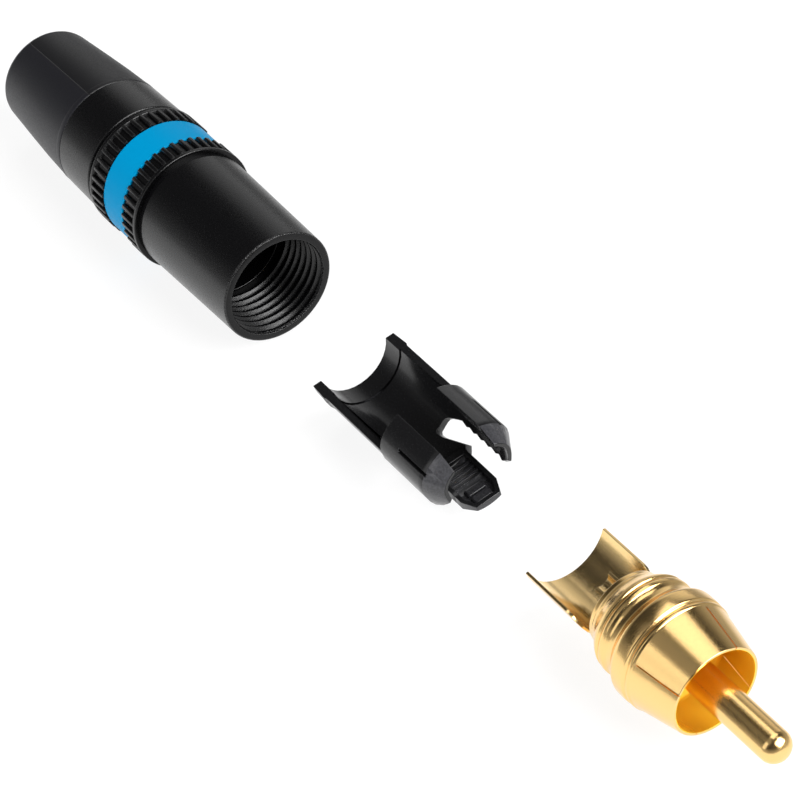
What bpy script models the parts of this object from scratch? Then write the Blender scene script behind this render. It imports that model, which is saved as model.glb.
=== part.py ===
# Cable plug for a phono socket, laid out in a row as it comes apart.
# From the rear: the housing (boot, shell and colour ring), the cable chuck,
# and the contact insert (ground shell, ground clamp, insulator, centre pin).
# Every piece is turned about, or built round, one axis that runs along +X.
# The row lies on its knurled bands, and the origin is under its middle.

import math

import bmesh
import bpy
from mathutils import Matrix

MM = 0.001

# Clearances
SEAT_GAP = 0.3 * MM
THREAD_GAP = 0.15 * MM
BORE_GAP = 0.2 * MM
STOP_GAP = 0.35 * MM

# The gaps between the pieces of the row
HOUSING_TO_CHUCK = 13.4 * MM
CHUCK_TO_CLAMP = 12.8 * MM

# Ground shell: the ferrule cone in front and the threaded body behind it
FERRULE_RIM_RADIUS = 4.62 * MM
FERRULE_WALL = 0.32 * MM
CONE_LENGTH = 4.8 * MM
CONE_BASE_RADIUS = 5.58 * MM
CAVITY_DEPTH = 6.6 * MM
CAVITY_FLOOR_RADIUS = 4.5 * MM
SLIT_COUNT = 4
SLIT_WIDTH = 0.2 * MM
SLIT_LENGTH = 4.6 * MM
SLIT_FIRST_ANGLE = math.radians(38.0)
COLLAR_RADIUS = 5.79 * MM
THREAD_ROOT_RADIUS = 4.98 * MM
THREAD_CREST_RADIUS = 5.2 * MM
FRONT_BEAD_RADIUS = 5.68 * MM
FRONT_BEAD_WIDTH = 0.6 * MM
COLLAR_WIDTH = 2.2 * MM
ROOT_WIDTH = 1.7 * MM
CREST_WIDTH = 1.1 * MM
DOME_LENGTH = 2.2 * MM
DOME_RADIUS = 3.95 * MM
REAR_OPENING_RADIUS = 3.55 * MM
REAR_LIP = 1.0 * MM

# Insulator and centre pin
INSULATOR_RADIUS = 3.55 * MM
PIN_RADIUS = 1.6 * MM
PIN_REACH = 9.0 * MM
PIN_TIP_ROUNDING = 1.1 * MM
PIN_TIP_DOME = 0.12 * MM
SHANK_RADIUS = 0.95 * MM
SOLDER_CUP_REACH = 3.1 * MM
SOLDER_CUP_RADIUS = 1.1 * MM
SOLDER_CUP_WALL = 0.3 * MM
SOLDER_CUP_RISE = 1.1 * MM
SOLDER_CUP_LOW_SIDE = math.radians(-52.0)
SOLDER_CUP_HIGH_SIDE = math.radians(100.0)

# Ground clamp: a trough of sheet behind the ground shell
CLAMP_RADIUS = 4.47 * MM
CLAMP_SHEET = 0.3 * MM
CLAMP_RISE = 1.5 * MM
CLAMP_HALF_ANGLE = math.radians(75.5)
CLAMP_WING_LENGTH = 8.5 * MM
CLAMP_CORNER = 2.4 * MM
CLAMP_TAIL_HALF_ANGLE = math.radians(20.0)
# How far the clamp lies turned about the axis, positive with the +Y side up
CLAMP_ROLL = math.radians(-8.5)

# Chuck: an open trough that ends in two jaws and a tongue
CHUCK_LENGTH = 21.6 * MM
CHUCK_RADIUS = 4.9 * MM
CHUCK_WALL = 0.85 * MM
JAW_LENGTH = 9.5 * MM
JAW_END_SETBACK = 0.6 * MM
JAW_CORNER = 1.2 * MM
JAW_PROUD = 0.15 * MM
JAW_CROWN = 0.67
JAW_GAP_HALF = 2.3 * MM
JAW_CONE_LENGTH = 2.0 * MM
JAW_CONE_INSET = 1.2 * MM
RAIL_DROP = 0.45 * MM
LIP_LENGTH = 2.4 * MM
LIP_STEP = 0.12 * MM
LIP_BEAD = 0.14 * MM
JAW_EDGE_ANGLE = math.radians(55.0)
TONGUE_HALF_WIDTH = 2.1 * MM
TONGUE_LENGTH = 6.3 * MM
TONGUE_DEPTH = 1.45 * MM
TONGUE_SIDE_WALL = 0.45 * MM
TONGUE_FLOOR = 0.85 * MM
TONGUE_END_CHAMFER = 1.6 * MM
TONGUE_END_INSET = 0.7 * MM
TONGUE_END_WALL = 0.5 * MM
TONGUE_TOOTH_COUNT = 4
TONGUE_TOOTH_PITCH = 0.68 * MM
TONGUE_TOOTH_HEIGHT = 0.38 * MM
TONGUE_PAD_COUNT = 2
TONGUE_PAD_LENGTH = 0.9 * MM
TONGUE_PAD_GAP = 0.22 * MM
TONGUE_PAD_HEIGHT = 0.36 * MM
TONGUE_PAD_CHAMFER = 0.16 * MM
WINDOW_ROUNDING = 0.9 * MM
SHOULDER_ANGLE = math.radians(37.0)
SHOULDER_LENGTH = 3.7 * MM
SHOULDER_SLANT = 0.7 * MM
NECK_ANGLE = math.radians(23.0)
TOOTH_COUNT = 6
TOOTH_DEPTH = 0.22 * MM
JAW_SLOT_LENGTH = 4.4 * MM
JAW_SLOT_WIDTH = 0.35 * MM
JAW_SLOT_DEPTH = 0.4 * MM
JAW_SLOT_ANGLE = math.radians(29.0)
JAW_SLOT_INSET = 2.5 * MM

# Shell, measured from its mouth rearwards
MOUTH_WALL = 0.93 * MM
MOUTH_ROUNDING = 0.25 * MM
BARREL_WALL = 1.25 * MM
FRONT_BARREL_LENGTH = 15.75 * MM
THREAD_DEPTH = 8.2 * MM
EDGE_GROOVE_WIDTH = 0.7 * MM
EDGE_GROOVE_DEPTH = 0.15 * MM
KNURL_WIDTH = 2.7 * MM
KNURL_HEIGHT = 0.45 * MM
KNURL_FLANGE = 0.45 * MM
KNURL_BEVEL = 0.12 * MM
RIB_COUNT = 40
RIB_GROOVE_DEPTH = 0.34 * MM
RING_SLOT_WIDTH = 3.95 * MM
RING_DROP = 0.18 * MM
RING_THICKNESS = 0.55 * MM
REAR_BARREL_LENGTH = 6.3 * MM
REAR_BARREL_WALL = 1.45 * MM
SEAM_DROP = 0.12 * MM
SPIGOT_LENGTH = 4.0 * MM
SPIGOT_WALL = 0.4 * MM

# Boot
BOOT_LENGTH = 14.75 * MM
BOOT_END_DROP = 1.05 * MM
BOOT_END_ROUNDING = 0.9 * MM
CABLE_HOLE_RADIUS = 3.65 * MM
CABLE_HOLE_LENGTH = 3.4 * MM

# Facets round each piece
SHELL_SIDES = 2 * RIB_COUNT
ROUND_SIDES = 48
PIN_SIDES = 32
FILLET_STEPS = 2

# Radii that follow from the fits
BORE_RADIUS = CHUCK_RADIUS + JAW_PROUD + BORE_GAP
THREAD_BORE_RADIUS = THREAD_CREST_RADIUS + THREAD_GAP
MOUTH_RADIUS = THREAD_BORE_RADIUS + MOUTH_WALL
BARREL_RADIUS = THREAD_BORE_RADIUS + BARREL_WALL
REAR_BARREL_RADIUS = THREAD_BORE_RADIUS + REAR_BARREL_WALL
GROOVE_FLOOR_RADIUS = BARREL_RADIUS - EDGE_GROOVE_DEPTH
KNURL_RADIUS = BARREL_RADIUS + KNURL_HEIGHT
RING_RADIUS = KNURL_RADIUS - RING_DROP
RING_SEAT_RADIUS = RING_RADIUS - RING_THICKNESS - SEAT_GAP
SEAM_RADIUS = REAR_BARREL_RADIUS - SEAM_DROP
SPIGOT_RADIUS = BORE_RADIUS + SPIGOT_WALL
CAVITY_BASE_RADIUS = CONE_BASE_RADIUS - FERRULE_WALL
SOCKET_RADIUS = INSULATOR_RADIUS + SEAT_GAP
CHUCK_BORE = CHUCK_RADIUS - CHUCK_WALL

# Lengths that follow from the pieces
THREAD_LENGTH = (
    FRONT_BEAD_WIDTH + COLLAR_WIDTH + ROOT_WIDTH + CREST_WIDTH + DOME_LENGTH
)
GROUND_SHELL_LENGTH = CONE_LENGTH + THREAD_LENGTH
SOCKET_FLOOR = GROUND_SHELL_LENGTH - REAR_LIP
CLAMP_REACH = GROUND_SHELL_LENGTH + CLAMP_WING_LENGTH
SHELL_LENGTH = (
    FRONT_BARREL_LENGTH
    + 2.0 * EDGE_GROOVE_WIDTH
    + 2.0 * KNURL_WIDTH
    + RING_SLOT_WIDTH
    + REAR_BARREL_LENGTH
)
HOUSING_LENGTH = SHELL_LENGTH + BOOT_LENGTH
CLOSED_MOUTH = CONE_LENGTH + FRONT_BEAD_WIDTH + COLLAR_WIDTH + STOP_GAP
CHUCK_REACH = CLAMP_REACH - CLOSED_MOUTH + STOP_GAP + CHUCK_LENGTH + STOP_GAP
ROW_LENGTH = (
    HOUSING_LENGTH
    + HOUSING_TO_CHUCK
    + CHUCK_LENGTH
    + CHUCK_TO_CLAMP
    + CLAMP_REACH
    + PIN_REACH
)
AXIS_HEIGHT = KNURL_RADIUS
RIM_X = ROW_LENGTH / 2.0 - PIN_REACH
MOUTH_X = HOUSING_LENGTH - ROW_LENGTH / 2.0
CHUCK_X = MOUTH_X + HOUSING_TO_CHUCK


def collection(name):
    group = bpy.data.collections.new(name)
    bpy.context.scene.collection.children.link(group)
    return group


def finish(name, colour, metallic, roughness):
    material = bpy.data.materials.new(name)
    material.use_nodes = True
    shader = material.node_tree.nodes["Principled BSDF"]
    shader.inputs["Base Color"].default_value = (*colour, 1.0)
    shader.inputs["Metallic"].default_value = metallic
    shader.inputs["Roughness"].default_value = roughness
    return material


def axis_empty(name, x, roll=0.0):
    # Its own Z runs along the row's axis, and without a roll its own X points down.
    empty = bpy.data.objects.new(name, None)
    empty.empty_display_size = 5.0 * MM
    empty.location = (x, 0.0, AXIS_HEIGHT)
    empty.rotation_mode = "ZYX"
    empty.rotation_euler = (roll, math.pi / 2.0, 0.0)
    PARTS.objects.link(empty)
    return empty


def add_object(name, mesh, parent, material=None):
    thing = bpy.data.objects.new(name, mesh)
    thing.parent = parent
    if material is None:
        thing.hide_render = True
        thing.display_type = "WIRE"
        CUTTERS.objects.link(thing)
    else:
        mesh.materials.append(material)
        PARTS.objects.link(thing)
    return thing


def from_bmesh(name, shape, parent, material=None):
    mesh = bpy.data.meshes.new(name)
    bmesh.ops.recalc_face_normals(shape, faces=shape.faces)
    shape.to_mesh(mesh)
    shape.free()
    return add_object(name, mesh, parent, material)


def rounded(corners):
    # A corner is (radius, along) or (radius, along, fillet size).
    points = []
    for index, corner in enumerate(corners):
        if len(corner) == 2 or corner[2] == 0.0:
            points.append(corner[:2])
            continue
        before = corners[index - 1]
        after = corners[(index + 1) % len(corners)]
        points.extend(fillet(before, corner, after, corner[2]))
    return points


def fillet(before, corner, after, size):
    # A quadratic curve between the two points that lie size away from the corner.
    ends = []
    for other in (before, after):
        run = (other[0] - corner[0], other[1] - corner[1])
        length = math.hypot(*run)
        reach = min(size, 0.45 * length) / length
        ends.append((corner[0] + run[0] * reach, corner[1] + run[1] * reach))
    start, end = ends
    curve = []
    for step in range(FILLET_STEPS + 1):
        t = step / FILLET_STEPS
        weights = ((1.0 - t) ** 2, 2.0 * t * (1.0 - t), t**2)
        curve.append(
            tuple(
                weights[0] * start[axis] + weights[1] * corner[axis] + weights[2] * end[axis]
                for axis in (0, 1)
            )
        )
    return curve


def turned(name, corners, sides, parent, material=None, closed=True):
    # The profile runs down the outer side, and a closed one comes back up inside.
    points = rounded(corners)
    mesh = bpy.data.meshes.new(name)
    edges = [(index, index + 1) for index in range(len(points) - 1)]
    if closed:
        edges.append((len(points) - 1, 0))
    mesh.from_pydata([(radius, 0.0, along) for radius, along in points], edges, [])
    thing = add_object(name, mesh, parent, material)
    screw = thing.modifiers.new("turn", "SCREW")
    screw.axis = "Z"
    screw.angle = 2.0 * math.pi
    screw.steps = sides
    screw.render_steps = sides
    screw.use_merge_vertices = True
    screw.merge_threshold = 0.00001
    screw.use_smooth_shade = True
    return thing


def extruded(name, outline, low, high, parent, material=None):
    # The outline is a list of (sideways, upwards) points round the axis.
    shape = bmesh.new()
    corners = [shape.verts.new((-up, side, low)) for side, up in outline]
    face = shape.faces.new(corners)
    grown = bmesh.ops.extrude_face_region(shape, geom=[face])
    moved = [item for item in grown["geom"] if isinstance(item, bmesh.types.BMVert)]
    bmesh.ops.translate(shape, verts=moved, vec=(0.0, 0.0, high - low))
    return from_bmesh(name, shape, parent, material)


def lofted(name, rings, parent, material=None):
    # Each ring is a list of (sideways, upwards, along) points, all of one count.
    shape = bmesh.new()
    loops = [[shape.verts.new((-up, side, along)) for side, up, along in ring] for ring in rings]
    for first, second in zip(loops, loops[1:]):
        for index in range(len(first)):
            after = (index + 1) % len(first)
            shape.faces.new((first[index], first[after], second[after], second[index]))
    shape.faces.new(reversed(loops[0]))
    shape.faces.new(loops[-1])
    return from_bmesh(name, shape, parent, material)


def block(name, sides, ups, alongs, parent, turn=0.0, material=None):
    # A box between two sideways, two upward and two axial limits, turned about the axis.
    shape = bmesh.new()
    bmesh.ops.create_cube(shape, size=1.0)
    size = (ups[1] - ups[0], sides[1] - sides[0], alongs[1] - alongs[0])
    middle = (-sum(ups) / 2.0, sum(sides) / 2.0, sum(alongs) / 2.0)
    bmesh.ops.scale(shape, verts=shape.verts, vec=size)
    bmesh.ops.translate(shape, verts=shape.verts, vec=middle)
    bmesh.ops.rotate(shape, verts=shape.verts, matrix=Matrix.Rotation(turn, 3, "Z"))
    return from_bmesh(name, shape, parent, material)


def combine(target, tool, operation):
    boolean = target.modifiers.new(tool.name, "BOOLEAN")
    boolean.operation = operation
    boolean.solver = "EXACT"
    boolean.object = tool


def cut(target, tool):
    combine(target, tool, "DIFFERENCE")


def add(target, tool):
    combine(target, tool, "UNION")


def arc(radius, start, end, steps, rise=0.0, squash=1.0):
    # Points (sideways, upwards) on an arc. Angles are measured from straight down.
    points = []
    for step in range(steps + 1):
        angle = start + (end - start) * step / steps
        up = -radius * math.cos(angle)
        if up > 0.0:
            up *= squash
        points.append((radius * math.sin(angle), up + rise))
    return points


def build_shell(datum, paint):
    groove = EDGE_GROOVE_WIDTH
    front_groove = -FRONT_BARREL_LENGTH
    front_band = front_groove - groove
    ring_front = front_band - KNURL_WIDTH
    ring_rear = ring_front - RING_SLOT_WIDTH
    rear_band = ring_rear - KNURL_WIDTH
    rear_barrel = rear_band - groove
    profile = [
        (MOUTH_RADIUS, 0.0, MOUTH_ROUNDING),
        (BARREL_RADIUS, front_groove, 0.0),
        (GROOVE_FLOOR_RADIUS, front_groove - EDGE_GROOVE_DEPTH, 0.0),
        (GROOVE_FLOOR_RADIUS, front_band, 0.0),
        (KNURL_RADIUS - KNURL_BEVEL, front_band, 0.0),
        (KNURL_RADIUS, front_band - KNURL_BEVEL, 0.0),
        (KNURL_RADIUS, ring_front, 0.0),
        (RING_SEAT_RADIUS, ring_front, 0.0),
        (RING_SEAT_RADIUS, ring_rear, 0.0),
        (KNURL_RADIUS, ring_rear, 0.0),
        (KNURL_RADIUS, rear_band + KNURL_BEVEL, 0.0),
        (KNURL_RADIUS - KNURL_BEVEL, rear_band, 0.0),
        (GROOVE_FLOOR_RADIUS, rear_band, 0.0),
        (GROOVE_FLOOR_RADIUS, rear_barrel + EDGE_GROOVE_DEPTH, 0.0),
        (REAR_BARREL_RADIUS, rear_barrel, 0.0),
        (SEAM_RADIUS, -SHELL_LENGTH, KNURL_BEVEL),
        (SPIGOT_RADIUS + SEAT_GAP, -SHELL_LENGTH, 0.0),
        (SPIGOT_RADIUS + SEAT_GAP, SPIGOT_LENGTH + SEAT_GAP - SHELL_LENGTH, 0.0),
        (BORE_RADIUS, SPIGOT_LENGTH + SEAT_GAP - SHELL_LENGTH, 0.0),
        (BORE_RADIUS, -THREAD_DEPTH, 0.0),
        (THREAD_BORE_RADIUS, THREAD_BORE_RADIUS - BORE_RADIUS - THREAD_DEPTH, 0.0),
        (THREAD_BORE_RADIUS, 0.0, 0.0),
    ]
    shell = turned("shell", profile, SHELL_SIDES, datum, paint)
    overrun = RING_SLOT_WIDTH / 4.0
    bands = {
        "front_rib_grooves": (ring_front - overrun, front_band - KNURL_FLANGE),
        "rear_rib_grooves": (rear_band + KNURL_FLANGE, ring_rear + overrun),
    }
    for name, (low, high) in bands.items():
        cut(shell, rib_grooves(name, low, high, datum))
    return shell


def rib_grooves(name, low, high, datum):
    # One square bar on edge for each groove, halfway between two ribs.
    root = KNURL_RADIUS - RIB_GROOVE_DEPTH
    half_diagonal = 1.3 * RIB_GROOVE_DEPTH
    side = half_diagonal * math.sqrt(2.0)
    shape = bmesh.new()
    for index in range(RIB_COUNT):
        made = bmesh.ops.create_cube(shape, size=1.0)["verts"]
        bmesh.ops.scale(shape, verts=made, vec=(side, side, high - low))
        bmesh.ops.rotate(shape, verts=made, matrix=Matrix.Rotation(math.pi / 4.0, 3, "Z"))
        middle = (root + half_diagonal, 0.0, (low + high) / 2.0)
        bmesh.ops.translate(shape, verts=made, vec=middle)
        turn = 2.0 * math.pi * (index + 0.5) / RIB_COUNT
        bmesh.ops.rotate(shape, verts=made, matrix=Matrix.Rotation(turn, 3, "Z"))
    return from_bmesh(name, shape, datum)


def build_boot(datum, plastic):
    seam = -SHELL_LENGTH - SEAT_GAP
    end = -HOUSING_LENGTH
    end_radius = SEAM_RADIUS - BOOT_END_DROP
    taper_start = seam - BOOT_END_ROUNDING
    profile = [
        (SPIGOT_RADIUS, SPIGOT_LENGTH - SHELL_LENGTH, 0.0),
        (SPIGOT_RADIUS, seam, 0.0),
        (SEAM_RADIUS, seam, KNURL_BEVEL),
        (SEAM_RADIUS, taper_start, 0.0),
        (end_radius, end, BOOT_END_ROUNDING),
        (CABLE_HOLE_RADIUS, end, BOOT_END_ROUNDING / 2.0),
        (CABLE_HOLE_RADIUS, end + CABLE_HOLE_LENGTH, 0.0),
        (BORE_RADIUS, -CHUCK_REACH, 0.0),
        (BORE_RADIUS, SPIGOT_LENGTH - SHELL_LENGTH, 0.0),
    ]
    return turned("boot", profile, ROUND_SIDES, datum, plastic)


def build_ring(datum, plastic):
    # The ring lies in the slot between the two knurled bands.
    slot_front = -FRONT_BARREL_LENGTH - EDGE_GROOVE_WIDTH - KNURL_WIDTH
    front = slot_front - SEAT_GAP
    rear = slot_front - RING_SLOT_WIDTH + SEAT_GAP
    inner = RING_RADIUS - RING_THICKNESS
    profile = [
        (RING_RADIUS, front, KNURL_BEVEL),
        (RING_RADIUS, rear, KNURL_BEVEL),
        (inner, rear, 0.0),
        (inner, front, 0.0),
    ]
    return turned("colour_ring", profile, SHELL_SIDES, datum, plastic)


def chuck_ring(outer, inner, along):
    # A C shape: down the outside, round the bottom, and back along the inside.
    steps = 28
    reach = math.pi - math.asin(JAW_GAP_HALF / outer)
    inner_reach = math.pi - math.asin(JAW_GAP_HALF / inner)
    outside = arc(outer, -reach, reach, steps, squash=JAW_CROWN)
    inside = arc(inner, inner_reach, -inner_reach, steps, squash=JAW_CROWN)
    return [(side, up, along) for side, up in outside + inside]


def build_chuck(datum, plastic):
    jaw_rear = CHUCK_LENGTH - JAW_LENGTH
    jaw_end = CHUCK_LENGTH - JAW_END_SETBACK
    cone_start = jaw_end - JAW_CONE_LENGTH
    jaw_radius = CHUCK_RADIUS + JAW_PROUD
    stations = [
        (CHUCK_RADIUS, CHUCK_BORE - LIP_STEP, 0.0),
        (CHUCK_RADIUS + LIP_BEAD, CHUCK_BORE - LIP_STEP, LIP_LENGTH - 2.0 * LIP_BEAD),
        (CHUCK_RADIUS, CHUCK_BORE - LIP_STEP, LIP_LENGTH),
        (CHUCK_RADIUS, CHUCK_BORE, LIP_LENGTH + LIP_STEP / 2.0),
        (CHUCK_RADIUS, CHUCK_BORE, jaw_rear - JAW_PROUD),
        (jaw_radius, CHUCK_BORE, jaw_rear),
        (jaw_radius, CHUCK_BORE, cone_start),
        (jaw_radius - JAW_CONE_INSET, CHUCK_BORE - JAW_CONE_INSET / 2.0, jaw_end),
    ]
    chuck = lofted("chuck", [chuck_ring(*station) for station in stations], datum, plastic)
    beyond = 2.0 * CHUCK_RADIUS
    rails = block(
        "rail_cut",
        (-beyond, beyond),
        (-RAIL_DROP, beyond),
        (-SEAT_GAP, jaw_rear),
        datum,
    )
    cut(chuck, rails)
    for side in (1.0, -1.0):
        cut(chuck, window_cutter(side, jaw_rear, datum))
        cut(chuck, jaw_slot(side, jaw_radius, datum))
    add(chuck, build_tongue(datum))
    return chuck


def window_cutter(side, jaw_rear, datum):
    # The opening between a jaw and the tongue, seen square on from outside.
    # Its outline is a list of (angle from straight down, place along the axis, rounding).
    middle = (JAW_EDGE_ANGLE + NECK_ANGLE) / 2.0
    tongue_angle = math.asin(TONGUE_HALF_WIDTH / CHUCK_RADIUS) - math.radians(4.0)
    shoulder = CHUCK_LENGTH - TONGUE_LENGTH
    neck = shoulder - SHOULDER_LENGTH
    rear = neck - SEAT_GAP * 3.0
    front = CHUCK_LENGTH + JAW_PROUD
    outline = [
        (NECK_ANGLE, rear, WINDOW_ROUNDING),
        (middle + math.radians(6.0), rear, WINDOW_ROUNDING / 2.0),
        (JAW_EDGE_ANGLE, jaw_rear + JAW_SLOT_WIDTH, 0.0),
    ]
    jaw_corner = CHUCK_LENGTH - JAW_END_SETBACK - JAW_CORNER
    outline += jaw_teeth(jaw_rear + 2.0 * JAW_SLOT_WIDTH, jaw_corner)
    outline += [
        (JAW_EDGE_ANGLE, jaw_corner, 0.0),
        (JAW_EDGE_ANGLE + math.radians(15.0), front, 0.0),
        (tongue_angle - math.radians(30.0), front, 0.0),
        (tongue_angle - math.radians(30.0), shoulder + TONGUE_SIDE_WALL, 0.0),
        (tongue_angle, shoulder + TONGUE_SIDE_WALL, 0.0),
        (SHOULDER_ANGLE, shoulder - SHOULDER_SLANT, 0.0),
        (NECK_ANGLE, neck, WINDOW_ROUNDING / 2.0),
    ]
    low = 0.45 * CHUCK_RADIUS
    high = 1.4 * CHUCK_RADIUS
    radius = CHUCK_RADIUS - CHUCK_WALL / 2.0
    flat = [
        (radius * math.sin(angle - middle), along, rounding)
        for angle, along, rounding in outline
    ]
    out = (math.sin(middle), -math.cos(middle))
    sideways = (math.cos(middle), math.sin(middle))
    rings = []
    for depth in (low, high):
        ring = []
        for across, along in rounded(flat):
            ring.append(
                (
                    side * (depth * out[0] + across * sideways[0]),
                    depth * out[1] + across * sideways[1],
                    along,
                )
            )
        rings.append(ring)
    name = "window_right" if side > 0.0 else "window_left"
    return lofted(name, rings, datum)


def jaw_teeth(low, high):
    # Saw teeth along a jaw's lower edge.
    bite = TOOTH_DEPTH / CHUCK_RADIUS
    points = []
    for index in range(TOOTH_COUNT):
        start = low + (high - low) * index / TOOTH_COUNT
        end = low + (high - low) * (index + 1) / TOOTH_COUNT
        points.append((JAW_EDGE_ANGLE + bite, start + (end - start) * 0.15, 0.0))
        points.append((JAW_EDGE_ANGLE, start + (end - start) * 0.85, 0.0))
    return points


def jaw_slot(side, jaw_radius, datum):
    # A narrow groove along the outside of a jaw, above its middle.
    crowned = (
        jaw_radius * math.cos(JAW_SLOT_ANGLE),
        jaw_radius * math.sin(JAW_SLOT_ANGLE) * JAW_CROWN,
    )
    reach = math.hypot(*crowned)
    tilt = math.atan2(crowned[1], crowned[0])
    high = CHUCK_LENGTH - JAW_SLOT_INSET
    name = "slot_right" if side > 0.0 else "slot_left"
    return block(
        name,
        (reach - JAW_SLOT_DEPTH, reach + CHUCK_WALL),
        (-JAW_SLOT_WIDTH / 2.0, JAW_SLOT_WIDTH / 2.0),
        (high - JAW_SLOT_LENGTH, high),
        datum,
        turn=tilt if side > 0.0 else math.pi - tilt,
    )


def tongue_ring(half_width, outer, top, along):
    # A flat-topped segment of the chuck's round outside.
    half_angle = math.asin(half_width / outer)
    bottom = arc(outer, -half_angle, half_angle, 8)
    return [(side, up, along) for side, up in [(-half_width, top)] + bottom + [(half_width, top)]]


def step_ring(half_width, low, high, along, chamfer=0.0):
    # A rectangle across the tongue, with its two upper corners cut off.
    return [
        (-half_width, low, along),
        (half_width, low, along),
        (half_width, high - chamfer, along),
        (half_width - chamfer, high, along),
        (chamfer - half_width, high, along),
        (-half_width, high - chamfer, along),
    ]


def tongue_tooth(index, half_width, start, end, floor, parent):
    # A ramp that rises forwards and drops straight down, so a pulled cable bites on it.
    sunk = floor - TONGUE_FLOOR / 3.0
    low = floor + TONGUE_TOOTH_HEIGHT / 8.0
    chamfer = TONGUE_TOOTH_HEIGHT / 16.0
    rings = [
        step_ring(half_width, sunk, low, start, chamfer),
        step_ring(half_width, sunk, floor + TONGUE_TOOTH_HEIGHT, end, chamfer),
    ]
    return lofted(f"tongue_tooth_{index + 1}", rings, parent)


def build_tongue(datum):
    # A boxed strip under the jaws, with cross teeth and two raised pads in its pocket.
    shoulder = CHUCK_LENGTH - TONGUE_LENGTH
    outer = CHUCK_RADIUS
    top = TONGUE_DEPTH - CHUCK_RADIUS
    tip = CHUCK_LENGTH - TONGUE_END_CHAMFER
    stations = [
        (TONGUE_HALF_WIDTH, outer, top, shoulder - CHUCK_WALL),
        (TONGUE_HALF_WIDTH, outer, top, tip),
        (TONGUE_HALF_WIDTH - TONGUE_END_INSET, outer - TONGUE_END_INSET, top, CHUCK_LENGTH),
    ]
    tongue = lofted("tongue", [tongue_ring(*station) for station in stations], datum)
    inside = TONGUE_HALF_WIDTH - TONGUE_SIDE_WALL
    floor = TONGUE_FLOOR - CHUCK_RADIUS
    above = top + CHUCK_WALL
    pocket_end = CHUCK_LENGTH - TONGUE_END_WALL
    taper = TONGUE_END_INSET * (pocket_end - tip) / TONGUE_END_CHAMFER
    pocket_rings = [
        step_ring(inside, floor, above, shoulder),
        step_ring(inside, floor, above, tip),
        step_ring(inside - taper, floor, above, pocket_end),
    ]
    cut(tongue, lofted("tongue_pocket", pocket_rings, datum))
    wide = inside + TONGUE_SIDE_WALL / 2.0
    for index in range(TONGUE_TOOTH_COUNT):
        start = shoulder + TONGUE_PAD_GAP + index * TONGUE_TOOTH_PITCH
        end = start + TONGUE_TOOTH_PITCH
        add(tongue, tongue_tooth(index, wide, start, end, floor, datum))
    pad_half = inside - taper - TONGUE_PAD_GAP / 2.0
    sunk = floor - TONGUE_FLOOR / 3.0
    high = floor + TONGUE_PAD_HEIGHT
    for index in range(TONGUE_PAD_COUNT):
        end = pocket_end - TONGUE_PAD_GAP - index * (TONGUE_PAD_LENGTH + TONGUE_PAD_GAP)
        start = end - TONGUE_PAD_LENGTH
        rings = [
            step_ring(pad_half, sunk, high, start, TONGUE_PAD_CHAMFER),
            step_ring(pad_half, sunk, high, end, TONGUE_PAD_CHAMFER),
        ]
        add(tongue, lofted(f"tongue_pad_{index + 1}", rings, datum))
    return tongue


def build_ground_shell(datum, gold):
    bead = -CONE_LENGTH
    collar = bead - FRONT_BEAD_WIDTH
    root = collar - COLLAR_WIDTH
    ridge = root - ROOT_WIDTH
    dome = ridge - CREST_WIDTH
    end = -GROUND_SHELL_LENGTH
    round_over = ROOT_WIDTH / 2.0
    profile = [
        (FERRULE_RIM_RADIUS, 0.0, 0.0),
        (CONE_BASE_RADIUS, bead, 0.0),
        (FRONT_BEAD_RADIUS, bead - FRONT_BEAD_WIDTH / 2.0, FRONT_BEAD_WIDTH / 4.0),
        (CONE_BASE_RADIUS, collar, 0.0),
        (COLLAR_RADIUS, collar, round_over / 2.0),
        (COLLAR_RADIUS, root, round_over / 2.0),
        (THREAD_ROOT_RADIUS, root - round_over / 2.0, round_over),
        (THREAD_ROOT_RADIUS, ridge, round_over),
        (THREAD_CREST_RADIUS, ridge - CREST_WIDTH / 2.0, round_over),
        (THREAD_ROOT_RADIUS, dome, round_over),
        (DOME_RADIUS, end, round_over / 2.0),
        (REAR_OPENING_RADIUS, end, 0.0),
        (REAR_OPENING_RADIUS, -SOCKET_FLOOR, 0.0),
        (SOCKET_RADIUS, -SOCKET_FLOOR, 0.0),
        (SOCKET_RADIUS, -CAVITY_DEPTH, 0.0),
        (CAVITY_FLOOR_RADIUS, -CAVITY_DEPTH, 0.0),
        (CAVITY_FLOOR_RADIUS, collar, 0.0),
        (CAVITY_BASE_RADIUS, bead, 0.0),
        (FERRULE_RIM_RADIUS - FERRULE_WALL, 0.0, 0.0),
    ]
    shell = turned("ground_shell", profile, ROUND_SIDES, datum, gold)
    for index in range(SLIT_COUNT):
        turn = SLIT_FIRST_ANGLE + 2.0 * math.pi * index / SLIT_COUNT
        slit = block(
            f"slit_{index + 1}",
            (-SLIT_WIDTH / 2.0, SLIT_WIDTH / 2.0),
            (FERRULE_RIM_RADIUS / 2.0, 2.0 * FERRULE_RIM_RADIUS),
            (-SLIT_LENGTH, SLIT_LENGTH),
            datum,
            turn=-turn,
        )
        cut(shell, slit)
    return shell


def build_insulator(datum, plastic):
    front = -CAVITY_DEPTH
    rear = SEAT_GAP - SOCKET_FLOOR
    hole = SHANK_RADIUS + SEAT_GAP
    profile = [
        (INSULATOR_RADIUS, front, KNURL_BEVEL),
        (INSULATOR_RADIUS, rear, KNURL_BEVEL),
        (hole, rear, 0.0),
        (hole, front, 0.0),
    ]
    return turned("insulator", profile, ROUND_SIDES, datum, plastic)


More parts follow.
